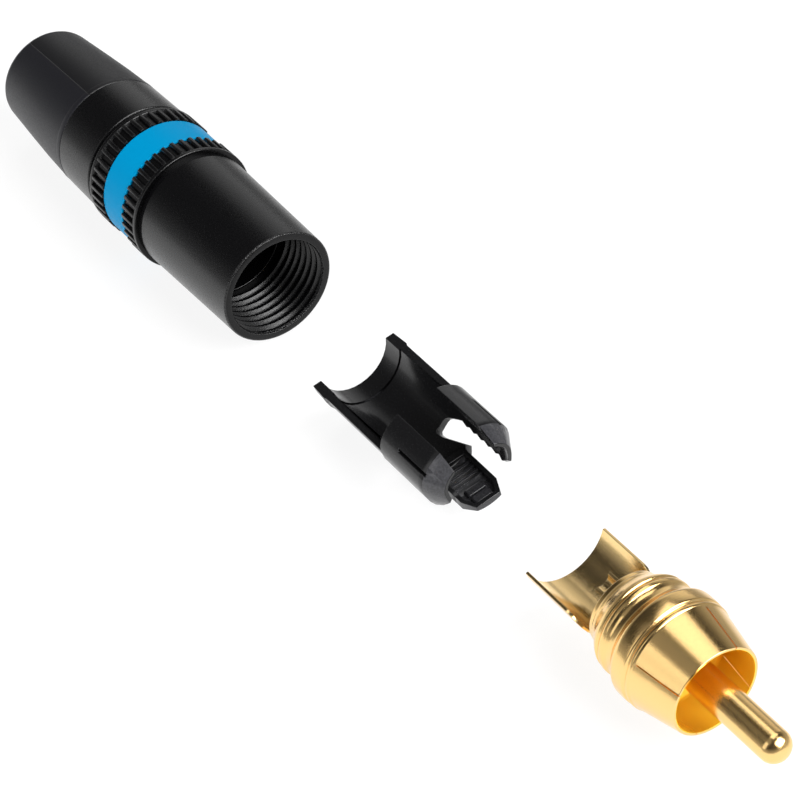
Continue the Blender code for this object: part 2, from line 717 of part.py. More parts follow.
def build_pin(datum, gold):
    # The turned pin, and the solder cup at its rear end, a trough that lies open to one side of the top.
    shoulder = SEAT_GAP - CAVITY_DEPTH
    cup_front = -SOCKET_FLOOR
    cup_end = -GROUND_SHELL_LENGTH - SOLDER_CUP_REACH
    profile = [
        (0.0, PIN_REACH),
        (PIN_RADIUS, PIN_REACH - PIN_TIP_DOME, PIN_TIP_ROUNDING),
        (PIN_RADIUS, shoulder, 0.0),
        (SHANK_RADIUS, shoulder, 0.0),
        (SHANK_RADIUS, cup_front - SOLDER_CUP_WALL, 0.0),
        (0.0, cup_front - SOLDER_CUP_WALL),
    ]
    pin = turned("centre_pin", profile, PIN_SIDES, datum, gold, closed=False)
    outside = arc(
        SOLDER_CUP_RADIUS, SOLDER_CUP_LOW_SIDE, SOLDER_CUP_HIGH_SIDE, 16, rise=SOLDER_CUP_RISE
    )
    cup = extruded("solder_cup", outside, cup_end, cup_front, datum)
    inner = SOLDER_CUP_RADIUS - SOLDER_CUP_WALL
    above = SOLDER_CUP_RISE + SOLDER_CUP_RADIUS
    inside = arc(inner, -math.pi / 2.0, math.pi / 2.0, 12, rise=SOLDER_CUP_RISE)
    inside += [(inner, above), (-inner, above)]
    hollow = extruded(
        "cup_hollow", inside, cup_end - SOLDER_CUP_WALL, cup_front - 2.0 * SOLDER_CUP_WALL, datum
    )
    cut(cup, hollow)
    add(pin, cup)
    return pin


def clamp_ring(half_angle, along):
    inner = CLAMP_RADIUS - CLAMP_SHEET / 2.0
    outer = CLAMP_RADIUS + CLAMP_SHEET / 2.0
    steps = 20
    outside = arc(outer, -half_angle, half_angle, steps, rise=CLAMP_RISE)
    inside = arc(inner, half_angle, -half_angle, steps, rise=CLAMP_RISE)
    return [(side, up, along) for side, up in outside + inside]


def build_clamp(datum, gold):
    # Two wings with rounded front corners, and a tail that reaches under the solder cup.
    rear = -CLAMP_REACH
    corner_end = -GROUND_SHELL_LENGTH - SEAT_GAP
    corner_start = corner_end - CLAMP_CORNER
    tail_end = -SOCKET_FLOOR
    corner_drop = CLAMP_HALF_ANGLE - CLAMP_TAIL_HALF_ANGLE
    stations = [(CLAMP_HALF_ANGLE, rear)]
    corner_steps = 8
    for step in range(corner_steps + 1):
        angle = math.pi / 2.0 * step / corner_steps
        half_angle = CLAMP_TAIL_HALF_ANGLE + corner_drop * math.cos(angle)
        stations.append((half_angle, corner_start + CLAMP_CORNER * math.sin(angle)))
    stations.append((CLAMP_TAIL_HALF_ANGLE, tail_end))
    return lofted("ground_clamp", [clamp_ring(*station) for station in stations], datum, gold)


def shade(objects):
    for thing in objects:
        thing.data.shade_smooth()
        thing.data.set_sharp_from_angle(angle=math.radians(35.0))


for old in list(bpy.data.objects):
    bpy.data.objects.remove(old, do_unlink=True)

PARTS = collection("phono_plug")
CUTTERS = collection("phono_plug_cutters")

insert_axis = axis_empty("insert_axis", RIM_X)
clamp_axis = axis_empty("clamp_axis", RIM_X, CLAMP_ROLL)
chuck_axis = axis_empty("chuck_axis", CHUCK_X)
ring_axis = axis_empty("ring_axis", MOUTH_X)
housing_axis = axis_empty("housing_axis", MOUTH_X)

pieces = [
    build_ground_shell(insert_axis, finish("rolled_gold", (0.83, 0.58, 0.22), 1.0, 0.2)),
    build_clamp(clamp_axis, finish("sheet_gold", (0.80, 0.60, 0.28), 1.0, 0.24)),
    build_insulator(insert_axis, finish("insulator_black", (0.02, 0.02, 0.022), 0.0, 0.45)),
    build_pin(insert_axis, finish("pin_gold", (0.85, 0.62, 0.26), 1.0, 0.18)),
    build_chuck(chuck_axis, finish("chuck_black", (0.015, 0.015, 0.017), 0.0, 0.35)),
    build_ring(ring_axis, finish("ring_blue", (0.0, 0.3, 0.62), 0.0, 0.4)),
    build_shell(housing_axis, finish("shell_black", (0.01, 0.01, 0.012), 0.3, 0.4)),
    build_boot(housing_axis, finish("boot_black", (0.03, 0.03, 0.034), 0.0, 0.6)),
]
shade(pieces)
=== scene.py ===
# %% [markdown]
# # A phono plug, taken apart in a row
# This lesson dresses a plug that was already built as solids. The solids are
# the frame: they say where every piece is and how it moves. Here the turned
# pieces get their fine edges, threads and knurl, and each finish gets a
# procedural material. From the rear of the row come the housing, the cable
# chuck and the gold contact insert.

import math

import bmesh
import bpy
from mathutils import Matrix, Quaternion, Vector


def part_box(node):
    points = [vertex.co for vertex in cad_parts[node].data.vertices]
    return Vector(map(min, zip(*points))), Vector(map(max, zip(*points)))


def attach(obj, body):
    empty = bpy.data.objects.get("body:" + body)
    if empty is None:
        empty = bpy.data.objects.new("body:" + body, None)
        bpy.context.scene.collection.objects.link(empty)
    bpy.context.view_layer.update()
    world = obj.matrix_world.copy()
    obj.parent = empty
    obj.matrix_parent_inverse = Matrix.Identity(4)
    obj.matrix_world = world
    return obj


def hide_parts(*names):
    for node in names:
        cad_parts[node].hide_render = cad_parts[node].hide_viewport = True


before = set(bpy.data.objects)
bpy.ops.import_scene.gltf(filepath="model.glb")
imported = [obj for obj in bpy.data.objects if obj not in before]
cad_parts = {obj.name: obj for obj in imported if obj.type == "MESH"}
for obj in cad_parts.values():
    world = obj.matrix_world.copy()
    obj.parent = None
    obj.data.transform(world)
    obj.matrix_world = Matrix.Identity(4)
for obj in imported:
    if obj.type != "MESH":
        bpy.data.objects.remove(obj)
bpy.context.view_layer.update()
print("pieces in the frame:", sorted(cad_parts))

# %% [markdown]
# All the turned pieces share one axis, along +X. Its height and the places
# along it are read from the boxes of the solids, so that the new pieces stay
# with them. Shapes are drawn in millimetres from a datum on that axis, which
# keeps the numbers easy to read, and brought to metres when they are done.

# %% The shared axis and its datums
MM = 0.001
AXIS_HEIGHT = (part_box("shell")[0][2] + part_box("shell")[1][2]) / 2.0
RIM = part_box("ground_shell")[1][0]
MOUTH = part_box("shell")[1][0]
SHELL_LENGTH = (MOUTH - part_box("shell")[0][0]) / MM
HOUSING_LENGTH = (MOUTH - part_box("boot")[0][0]) / MM
print("axis height, mm:", round(AXIS_HEIGHT / MM, 3))
print("rim and mouth, mm:", round(RIM / MM, 3), round(MOUTH / MM, 3))

# %% [markdown]
# The camera looks down at the row from its pin end, so that the pin comes
# towards the lower right corner and the boot goes away to the upper left. It
# is turned a little about its own view axis too. A long lens keeps the boot
# almost as large as the ferrule, as a product photograph does.

# %% Camera
LENS = 126.8
AHEAD_OF_RIM = 0.1241
BESIDE_AXIS = -0.0726
ABOVE_AXIS = 0.1941
TARGET_BEHIND_RIM = 0.0473
ROLL = math.radians(-16.87)

camera_data = bpy.data.cameras.new("product_camera")
camera_data.lens = LENS
camera_data.sensor_width = 36.0
camera_data.clip_start = 0.01
camera = bpy.data.objects.new("product_camera", camera_data)
bpy.context.scene.collection.objects.link(camera)
bpy.context.scene.camera = camera
camera.location = (RIM + AHEAD_OF_RIM, BESIDE_AXIS, AXIS_HEIGHT + ABOVE_AXIS)
view_target = Vector((RIM - TARGET_BEHIND_RIM, 0.0, AXIS_HEIGHT))
view_line = (view_target - camera.location).to_track_quat("-Z", "Y")
camera.rotation_mode = "QUATERNION"
camera.rotation_quaternion = view_line @ Quaternion((0, 0, 1), ROLL)
print("camera stands at, m:", [round(v, 4) for v in camera.location])

# %% [markdown]
# Every shader here is a small tree of nodes, and the same few steps come back
# in all of them. Each helper adds one step to a tree and gives the socket that
# holds its result, so a shader reads as a chain of steps.

# %% Helpers for shader trees
def value_node(tree, kind, **settings):
    node = tree.nodes.new(kind)
    for key, value in settings.items():
        setattr(node, key, value)
    return node


def coloured_node(tree, kind, colour):
    node = tree.nodes.new(kind)
    node.inputs["Color"].default_value = (*colour, 1.0)
    return node


def plug(tree, socket, source):
    # Links a socket to another one, or sets it to a plain value.
    if isinstance(source, bpy.types.NodeSocket):
        tree.links.new(source, socket)
    else:
        socket.default_value = source


def math_step(tree, operation, *sources):
    step = value_node(tree, "ShaderNodeMath", operation=operation)
    for socket, source in zip(step.inputs, sources):
        plug(tree, socket, source)
    return step.outputs[0]


def map_step(tree, source, start, end, low=0.0, high=1.0, curve="LINEAR"):
    # Takes start to low and end to high, and goes no further than those two.
    span = value_node(tree, "ShaderNodeMapRange", interpolation_type=curve)
    tree.links.new(source, span.inputs["Value"])
    span.inputs["From Min"].default_value = start
    span.inputs["From Max"].default_value = end
    span.inputs["To Min"].default_value = low
    span.inputs["To Max"].default_value = high
    return span.outputs[0]


def colour_step(tree, factor, first, second):
    # From the first colour to the second. Each is three numbers or a socket.
    blend = value_node(tree, "ShaderNodeMix", data_type="RGBA")
    tree.links.new(factor, blend.inputs["Factor"])
    for name, colour in (("A", first), ("B", second)):
        if isinstance(colour, tuple):
            colour = (*colour, 1.0)
        plug(tree, blend.inputs[name], colour)
    return blend.outputs["Result"]


def place_on_piece(tree):
    # The three coordinates of the piece itself, as sockets X, Y and Z.
    place = tree.nodes.new("ShaderNodeTexCoord")
    parts = tree.nodes.new("ShaderNodeSeparateXYZ")
    tree.links.new(place.outputs["Object"], parts.inputs[0])
    return parts.outputs


def distance_from_axis(tree):
    place = tree.nodes.new("ShaderNodeTexCoord")
    across = tree.nodes.new("ShaderNodeMapping")
    across.inputs["Location"].default_value = (0.0, 0.0, -AXIS_HEIGHT)
    across.inputs["Scale"].default_value = (0.0, 1.0, 1.0)
    reach = value_node(tree, "ShaderNodeVectorMath", operation="LENGTH")
    tree.links.new(place.outputs["Object"], across.inputs[0])
    tree.links.new(across.outputs[0], reach.inputs[0])
    return reach.outputs["Value"]


def facing_forward(tree):
    # The X part of the surface's own normal: one where it faces the pin end.
    surface = tree.nodes.new("ShaderNodeNewGeometry")
    parts = tree.nodes.new("ShaderNodeSeparateXYZ")
    tree.links.new(surface.outputs["True Normal"], parts.inputs[0])
    return parts.outputs["X"]


print("shader helpers ready")

# %% [markdown]
# The row lies on pale paper. A white plane would need so much light to reach
# paper white that the pieces would be bleached, so the floor's own shader
# adds a glow for the rays that come from the camera or from a mirror. The
# lamps then stay at a plain level, and the soft shadow under the pieces stays.
# In mirrors the paper ends in shade on the right of the row, which gives the
# gold a dark flank there.

# %% Floor
PAPER_WHITE = (0.8, 0.8, 0.8)
PAPER_BEHIND_GLOW = (0.22, 0.22, 0.22)
SHADE_STARTS = 0.006
SHADE_ENDS = 0.04
SHADE_LEVEL = 0.02
FLOOR_HALF_WIDTH = 3.0

floor_paper = bpy.data.materials.new("floor_paper")
floor_paper.use_nodes = True
paper = floor_paper.node_tree
paper.nodes.clear()
paper_out = paper.nodes.new("ShaderNodeOutputMaterial")
paper_plain = coloured_node(paper, "ShaderNodeBsdfDiffuse", PAPER_WHITE)
paper_dim = coloured_node(paper, "ShaderNodeBsdfDiffuse", PAPER_BEHIND_GLOW)
paper_glow = coloured_node(paper, "ShaderNodeEmission", PAPER_WHITE)
paper_sum = paper.nodes.new("ShaderNodeAddShader")
paper_mix = paper.nodes.new("ShaderNodeMixShader")
ray = paper.nodes.new("ShaderNodeLightPath").outputs

row_side = place_on_piece(paper)["Y"]
lit = map_step(paper, row_side, SHADE_STARTS, SHADE_ENDS, 1.0, SHADE_LEVEL, "SMOOTHSTEP")
glow_level = math_step(paper, "MAXIMUM", lit, ray["Is Camera Ray"])
mirrored = math_step(paper, "MAXIMUM", ray["Is Glossy Ray"], ray["Is Transmission Ray"])
seen = math_step(paper, "MAXIMUM", mirrored, ray["Is Camera Ray"])
for source, socket in (
    (glow_level, paper_glow.inputs["Strength"]),
    (paper_dim.outputs[0], paper_sum.inputs[0]),
    (paper_glow.outputs[0], paper_sum.inputs[1]),
    (seen, paper_mix.inputs[0]),
    (paper_plain.outputs[0], paper_mix.inputs[1]),
    (paper_sum.outputs[0], paper_mix.inputs[2]),
    (paper_mix.outputs[0], paper_out.inputs["Surface"]),
):
    paper.links.new(source, socket)

floor_mesh = bpy.data.meshes.new("floor")
floor_shape = bmesh.new()
bmesh.ops.create_grid(floor_shape, x_segments=1, y_segments=1, size=FLOOR_HALF_WIDTH)
floor_shape.to_mesh(floor_mesh)
floor_shape.free()
floor_mesh.materials.append(floor_paper)
floor = bpy.data.objects.new("floor", floor_mesh)
bpy.context.scene.collection.objects.link(floor)
print("floor at height 0, half width", FLOOR_HALF_WIDTH, "m")

# %% [markdown]
# Light for a black plug and a gold one at once is a matter of what they
# mirror. The room is dim overhead and paler near the floor, with a paler
# patch behind the row on the right and a weak one high on the left. Round
# black barrels then show a deep middle and pale flanks, and gold gets dark
# bands that are not quite black. The camera itself sees plain white.

# %% Room
NEAR_FLOOR = (0.42, 0.42, 0.42)
OVERHEAD = (0.042, 0.041, 0.04)

world = bpy.data.worlds.new("studio")
bpy.context.scene.world = world
world.use_nodes = True
room = world.node_tree
room.nodes.clear()
room_out = room.nodes.new("ShaderNodeOutputWorld")
room_light = room.nodes.new("ShaderNodeBackground")
room_view = coloured_node(room, "ShaderNodeBackground", (1.0, 1.0, 1.0))
room_pick = room.nodes.new("ShaderNodeMixShader")
room_path = room.nodes.new("ShaderNodeLightPath")
room_way = room.nodes.new("ShaderNodeTexCoord").outputs["Generated"]


def room_patch(direction, edge, middle, level):
    # A round patch. Its edge and middle are cosines of the angle off its axis.
    facing = value_node(room, "ShaderNodeVectorMath", operation="DOT_PRODUCT")
    facing.inputs[1].default_value = direction
    room.links.new(room_way, facing.inputs[0])
    return map_step(room, facing.outputs["Value"], edge, middle, 0.0, level, "SMOOTHSTEP")


room_parts = room.nodes.new("ShaderNodeSeparateXYZ")
room.links.new(room_way, room_parts.inputs[0])
room_ramp = room.nodes.new("ShaderNodeValToRGB")
stops = room_ramp.color_ramp.elements
for stop, height, tone in zip(stops, (0.02, 0.5), (NEAR_FLOOR, OVERHEAD)):
    stop.position = height
    stop.color = (*tone, 1.0)
behind_right = room_patch((-0.71, 0.662, 0.242), 0.88, 0.99, 0.5)
high_left = room_patch((-0.15, -0.45, 0.88), 0.88, 0.98, 0.22)
both_patches = math_step(room, "ADD", behind_right, high_left)
room_add = value_node(room, "ShaderNodeVectorMath", operation="ADD")
for source, socket in (
    (room_parts.outputs["Z"], room_ramp.inputs[0]),
    (room_ramp.outputs[0], room_add.inputs[0]),
    (both_patches, room_add.inputs[1]),
    (room_add.outputs[0], room_light.inputs["Color"]),
    (room_path.outputs["Is Camera Ray"], room_pick.inputs[0]),
    (room_light.outputs[0], room_pick.inputs[1]),
    (room_view.outputs[0], room_pick.inputs[2]),
    (room_pick.outputs[0], room_out.inputs["Surface"]),
):
    room.links.new(source, socket)
print("room ready")

# %% [markdown]
# Three soft boxes stand round the row: one high behind it, one low on the
# left and one in front. Their mirror images are the three bright spots on
# the nose of the pin and the long pale streaks on the gold. Each is named by
# its bearing from +X and its height in degrees. Its power follows from how
# bright its face has to look. A fourth lamp on the left is left out of every
# mirror. It only evens out the light on the matt blue ring.

# %% Soft boxes
LAMP_DISTANCE = 0.5


def soft_box(name, bearing, elevation, size, brightness, mirrored=True):
    level = math.cos(math.radians(elevation))
    heading = Vector(
        (
            level * math.cos(math.radians(bearing)),
            level * math.sin(math.radians(bearing)),
            math.sin(math.radians(elevation)),
        )
    )
    light = bpy.data.lights.new(name, "AREA")
    light.shape = "RECTANGLE"
    light.size, light.size_y = size
    light.energy = brightness * math.pi * size[0] * size[1]
    lamp = bpy.data.objects.new(name, light)
    lamp.location = heading * LAMP_DISTANCE + Vector((0.0, 0.0, AXIS_HEIGHT))
    lamp.rotation_mode = "QUATERNION"
    lamp.rotation_quaternion = (-heading).to_track_quat("-Z", "Y")
    lamp.visible_glossy = mirrored
    bpy.context.scene.collection.objects.link(lamp)
    print(name, "power, W:", round(light.energy, 3))


soft_box("box_above", 114.0, 66.5, (0.27, 0.4), 1.5)
soft_box("box_left", -95.0, 33.0, (0.22, 0.38), 1.0)
soft_box("box_front", 29.0, 36.0, (0.4, 0.34), 10.0)
soft_box("box_fill", -90.0, 32.0, (0.5, 0.4), 3.6, mirrored=False)

# %% [markdown]
# Every finish starts from the same few steps: a shader, a noise that reads
# the piece's own coordinates, and a bump from it. The scale is in lines per
# metre, so a grain of a tenth of a millimetre needs a scale near 10000.

# %% Helpers for finishes
NOISE_LOW = 0.3
NOISE_HIGH = 0.7


def shader_of(material):
    return material.node_tree.nodes["Principled BSDF"]


def new_finish(name, colour, metallic, roughness):
    material = bpy.data.materials.new(name)
    material.use_nodes = True
    shader = shader_of(material)
    shader.inputs["Base Color"].default_value = (*colour, 1.0)
    shader.inputs["Metallic"].default_value = metallic
    shader.inputs["Roughness"].default_value = roughness
    return material


def grain(material, scale, stretch=(1.0, 1.0, 1.0), detail=3.0):
    # A noise on the piece's own coordinates, stretched along the axes if asked.
    tree = material.node_tree
    place = tree.nodes.new("ShaderNodeTexCoord")
    mapping = tree.nodes.new("ShaderNodeMapping")
    mapping.inputs["Location"].default_value = (0.0, 0.0, -AXIS_HEIGHT * stretch[2])
    mapping.inputs["Scale"].default_value = stretch
    noise = tree.nodes.new("ShaderNodeTexNoise")
    noise.inputs["Scale"].default_value = scale
    noise.inputs["Detail"].default_value = detail
    tree.links.new(place.outputs["Object"], mapping.inputs[0])
    tree.links.new(mapping.outputs[0], noise.inputs["Vector"])
    return noise.outputs["Fac"]


def relief(material, source, height, strength=1.0, under=None):
    # Turns a grain into bumps of that height, on top of any bumps underneath.
    tree = material.node_tree
    bump = tree.nodes.new("ShaderNodeBump")
    bump.inputs["Distance"].default_value = height
    bump.inputs["Strength"].default_value = strength
    tree.links.new(source, bump.inputs["Height"])
    if under is not None:
        tree.links.new(under, bump.inputs["Normal"])
    tree.links.new(bump.outputs[0], shader_of(material).inputs["Normal"])
    return bump.outputs[0]


def fine_skin(material, scale, gloss, height, strength, detail=3.0, under=None):
    # One fine grain that moves the roughness and lifts the surface. It gives
    # the sockets of both.
    tree = material.node_tree
    source = grain(material, scale, detail=detail)
    roughness = map_step(tree, source, NOISE_LOW, NOISE_HIGH, *gloss)
    tree.links.new(roughness, shader_of(material).inputs["Roughness"])
    return roughness, relief(material, source, height, strength, under)


print("finish helpers ready")

# %% [markdown]
# The shell is turned metal under a thin satin black coat. The coat levels
# out the tool marks but keeps an even, very fine orange-peel texture, so its
# gloss is broken up in grains much smaller than the knurl. Faces square to
# the axis, which face the pin end, are given painted shade: the shader makes
# them partly a black metal, which reflects less. The rounded rim of the mouth
# is worn, so a rough grain breaks up its highlight.

# %% Satin black coat
coat_black = new_finish("coat_black", (0.0016, 0.0016, 0.002), 0.0, 0.28)
_, coat_skin = fine_skin(coat_black, 6500.0, (0.22, 0.34), 0.02 * MM, 0.5, detail=4.0)

# Painted shade on faces square to the axis: they are made partly black metal.
SQUARE_FACE = 0.97
SQUARE_FACE_SHADE = 0.5
RIM_START = MOUTH - 0.5 * MM
WEAR_HEIGHT = 0.12 * MM
coat_tree = coat_black.node_tree
coat_lean = facing_forward(coat_tree)
square_face = math_step(coat_tree, "GREATER_THAN", coat_lean, SQUARE_FACE)
painted_face_shade = math_step(coat_tree, "MULTIPLY", square_face, SQUARE_FACE_SHADE)
coat_tree.links.new(painted_face_shade, shader_of(coat_black).inputs["Metallic"])
rim_lean = math_step(coat_tree, "COMPARE", coat_lean, 0.5, 0.4)
coat_along = place_on_piece(coat_tree)["X"]
rim_front = math_step(coat_tree, "GREATER_THAN", coat_along, RIM_START)
rim_edge = math_step(coat_tree, "MULTIPLY", rim_lean, rim_front)
wear = math_step(coat_tree, "MULTIPLY", grain(coat_black, 5500.0, detail=4.0), rim_edge)
relief(coat_black, wear, WEAR_HEIGHT, under=coat_skin)
print("made", coat_black.name)

# %% [markdown]
# The boot is a soft black moulding. Its mould had two halves, and they left
# a fine line along it, a little to one side of the top. The line is a shallow
# furrow painted darker, as painted shade, and the base colour on one side of
# it is a shade lighter than on the other. The angle round the axis comes from
# the two coordinates across it.

# %% Boot moulding
PARTING_ANGLE = math.radians(-8.0)
PARTING_HALF_WIDTH = 0.09 * MM
BOOT_MIDDLE_RADIUS = 6.2 * MM
SHADE_CHANGE = 0.02
# One side of the parting line gets a base colour a shade lighter than the other.
LIGHTER_SIDE = (0.006, 0.006, 0.0085)
DARKER_SIDE = (0.003, 0.003, 0.004)
# Painted shade in the furrow of the parting line.
PAINTED_FURROW_SHADE = (0.003, 0.003, 0.003)
boot_moulding = new_finish("boot_moulding", (0.009, 0.009, 0.010), 0.0, 0.5)


def boot_parting(material):
    # Colours the two halves a shade apart, paints shade into the line between
    # them, and gives the line.
    tree = material.node_tree
    place = place_on_piece(tree)
    upward = math_step(tree, "SUBTRACT", place["Z"], AXIS_HEIGHT)
    turn = math_step(tree, "ARCTAN2", place["Y"], upward)
    side = math_step(tree, "SINE", math_step(tree, "SUBTRACT", turn, PARTING_ANGLE))
    off_line = math_step(tree, "ABSOLUTE", side)
    width = PARTING_HALF_WIDTH / BOOT_MIDDLE_RADIUS
    line = map_step(tree, off_line, 0.0, width, 1.0, 0.0, "SMOOTHSTEP")
    halves = map_step(tree, side, -SHADE_CHANGE, SHADE_CHANGE)
    shade = colour_step(tree, halves, LIGHTER_SIDE, DARKER_SIDE)
    tree.links.new(
        colour_step(tree, line, shade, PAINTED_FURROW_SHADE), shader_of(material).inputs["Base Color"]
    )
    return line


_, boot_skin = fine_skin(boot_moulding, 7000.0, (0.38, 0.52), 0.01 * MM, 0.6)
relief(boot_moulding, boot_parting(boot_moulding), -0.04 * MM, under=boot_skin)
print("made", boot_moulding.name)

# %% [markdown]
# The colour ring is dyed right through, so its blue is even. Only its skin
# varies: a faint waviness from the mould breaks up the highlight, and a thin
# sheen pales the two ends, where the ring turns away from the camera.

# %% Blue ring plastic
ring_blue = new_finish("ring_blue", (0.0, 0.22, 0.44), 0.0, 0.38)
shader_of(ring_blue).inputs["Specular IOR Level"].default_value = 0.04
shader_of(ring_blue).inputs["Sheen Weight"].default_value = 0.2
shader_of(ring_blue).inputs["Sheen Roughness"].default_value = 0.15
fine_skin(ring_blue, 4000.0, (0.34, 0.44), 0.01 * MM, 0.3)
print("made", ring_blue.name)

# %% [markdown]
# The chuck is a harder black plastic with more gloss. Close to, a moulding
# like this shows two scales at once: a slow unevenness where the melt has
# shrunk, and the fine grain of the mould.

# %% Chuck plastic
CHUCK_BLACK = (0.0055, 0.0055, 0.006)
CHUCK_PALE = (0.045, 0.045, 0.05)
chuck_plastic = new_finish("chuck_plastic", CHUCK_BLACK, 0.0, 0.22)
chuck_waves = grain(chuck_plastic, 700.0, detail=1.0)
chuck_sink = relief(chuck_plastic, chuck_waves, 0.05 * MM, 0.3)
_, chuck_skin = fine_skin(
    chuck_plastic, 8000.0, (0.18, 0.28), 0.01 * MM, 0.25, under=chuck_sink
)
chuck_tree = chuck_plastic.node_tree
chuck_shader = shader_of(chuck_plastic)
chuck_place = place_on_piece(chuck_tree)
CHUCK_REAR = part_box("chuck")[0][0]
CHUCK_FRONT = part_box("chuck")[1][0]
print("made", chuck_plastic.name)

# %% [markdown]
# The slanted noses of the jaws and the pocket of the tongue are paler, in
# faint blotches: partly scuffs, and partly painted light for the light that
# falls on them. The noses are the only surfaces that lean forwards by about
# half a right angle, so the shader finds them by the X part of the normal,
# and the pocket by its place. The painted light on the noses fades towards
# their lower ends.

# %% Scuffs and painted light on the chuck
NOSE_LEAN = 0.46
NOSE_LEAN_SPREAD = 0.12
POCKET_START = CHUCK_FRONT - 6.3 * MM
POCKET_HIGH = AXIS_HEIGHT - 3.5 * MM
POCKET_HALF_WIDTH = 1.7 * MM
POCKET_LEVEL = 0.5

pocket_low = math_step(chuck_tree, "LESS_THAN", chuck_place["Z"], POCKET_HIGH)
pocket_front = math_step(chuck_tree, "GREATER_THAN", chuck_place["X"], POCKET_START)
pocket_span = math_step(chuck_tree, "COMPARE", chuck_place["Y"], 0.0, POCKET_HALF_WIDTH)
pocket_end = math_step(chuck_tree, "MULTIPLY", pocket_low, pocket_front)
pocket_area = math_step(chuck_tree, "MULTIPLY", pocket_end, pocket_span)
pocket = math_step(chuck_tree, "MULTIPLY", pocket_area, POCKET_LEVEL)

chuck_lean = facing_forward(chuck_tree)
nose = math_step(chuck_tree, "COMPARE", chuck_lean, NOSE_LEAN, NOSE_LEAN_SPREAD)
nose_low = AXIS_HEIGHT - 3.0 * MM
nose_high = AXIS_HEIGHT + 1.5 * MM
nose_fade = map_step(chuck_tree, chuck_place["Z"], nose_low, nose_high, 0.35, 1.0)
nose_wear_and_light = math_step(chuck_tree, "MULTIPLY", nose, nose_fade)
blotches = map_step(chuck_tree, grain(chuck_plastic, 4500.0), 0.32, 0.68, 0.5, 1.0)
# Pale blotches: partly scuffs, partly painted light.
wear_and_light = math_step(chuck_tree, "MAXIMUM", nose_wear_and_light, pocket)
pale = math_step(chuck_tree, "MULTIPLY", wear_and_light, blotches)
chuck_colour = colour_step(chuck_tree, pale, CHUCK_BLACK, CHUCK_PALE)
chuck_tree.links.new(chuck_colour, chuck_shader.inputs["Base Color"])
print("scuffed", chuck_plastic.name)

# %% [markdown]
# Two details are left to the shader. A bump bends the surface gently where
# the noses begin: it dips towards the edge from both sides, so the two slopes
# meet in a curve. And the step where the rear lip of the trough starts gets a
# line of painted shade: it is made a black metal there, which reflects almost
# nothing.

# %% Soft nose and painted shade at the lip on the chuck
NOSE_START = CHUCK_FRONT - 2.6 * MM
NOSE_SOFTNESS = 0.7 * MM
NOSE_SLOPE = 0.6
LIP_AT = CHUCK_REAR + 2.43 * MM
LIP_HALF_WIDTH = 0.08 * MM
LIP_RADIUS = 4.12 * MM

past_nose = math_step(chuck_tree, "SUBTRACT", chuck_place["X"], NOSE_START)
off_nose = math_step(chuck_tree, "ABSOLUTE", past_nose)
near_nose = math_step(chuck_tree, "MULTIPLY_ADD", off_nose, -1.0 / NOSE_SOFTNESS, 1.0)
nose_step = math_step(chuck_tree, "MAXIMUM", near_nose, 0.0)
nose_bend = math_step(chuck_tree, "MULTIPLY", nose_step, nose_step)
relief(chuck_plastic, nose_bend, -NOSE_SLOPE * NOSE_SOFTNESS / 4.0, under=chuck_skin)

# Painted shade: the lip line is made a black metal.
chuck_reach = distance_from_axis(chuck_tree)
lip_inside = math_step(chuck_tree, "LESS_THAN", chuck_reach, LIP_RADIUS)
lip_step = math_step(chuck_tree, "COMPARE", chuck_place["X"], LIP_AT, LIP_HALF_WIDTH)
lip_shade_line = math_step(chuck_tree, "MULTIPLY", lip_inside, lip_step)
chuck_tree.links.new(lip_shade_line, chuck_shader.inputs["Metallic"])
print("lip line at, mm:", round(LIP_AT / MM, 3))

# %% [markdown]
# The insert is turned brass with a polished gold plate. Gold's colour is all
# in its reflection, so the shader is metallic, and the fine rings that the
# lathe left are a noise squeezed along the axis. They stretch a highlight
# along the axis and roughen its edge. Rolled sheet has its marks lengthwise.

# %% Gold plate
GOLD = (0.98, 0.66, 0.27)
SHEET_GOLD = (0.98, 0.70, 0.32)
LATHE_RINGS = (14.0, 1.0, 1.0)
ROLLING_LINES = (1.0, 9.0, 9.0)


def gold_plate(name, colour, roughness, marks, fine_scale):
    # Gold with the marks of its tool; gives the material and its roughness.
    material = new_finish(name, colour, 1.0, roughness)
    tool_marks = grain(material, 900.0, stretch=marks, detail=2.0)
    marked = relief(material, tool_marks, 0.01 * MM, 0.25)
    gloss, _ = fine_skin(material, fine_scale, (0.12, 0.26), 0.01 * MM, 0.5, under=marked)
    return material, gloss


pin_gold, _ = gold_plate("pin_gold", GOLD, 0.18, LATHE_RINGS, 9000.0)
turned_gold, turned_gloss = gold_plate("turned_gold", GOLD, 0.18, LATHE_RINGS, 9000.0)
sheet_gold, _ = gold_plate("sheet_gold", SHEET_GOLD, 0.2, ROLLING_LINES, 8000.0)
print("made", pin_gold.name, turned_gold.name, sheet_gold.name)

# %% [markdown]
# Inside the ferrule the plate is matt, because a bore is not polished, and
# less metallic. Its deep orange is painted light: the colour that light takes
# when it bounces many times between the gold walls. The shader finds that
# wall by the distance from the axis: less than the middle of the tapered wall.

# %% Gold in the bore of the ferrule, with painted bounce light
# Painted light: the deep orange of light bounced inside the bore.
BORE_BOUNCE_ORANGE = (0.98, 0.60, 0.03)
WALL_MIDDLE = 4.37 * MM
WALL_SLOPE = 0.204
WALL_LENGTH = 5.0 * MM
BORE_LIMIT = 5.35 * MM
BORE_END = RIM - 7.5 * MM
BORE_ROUGHER = 0.4
BORE_LESS_METALLIC = -0.65

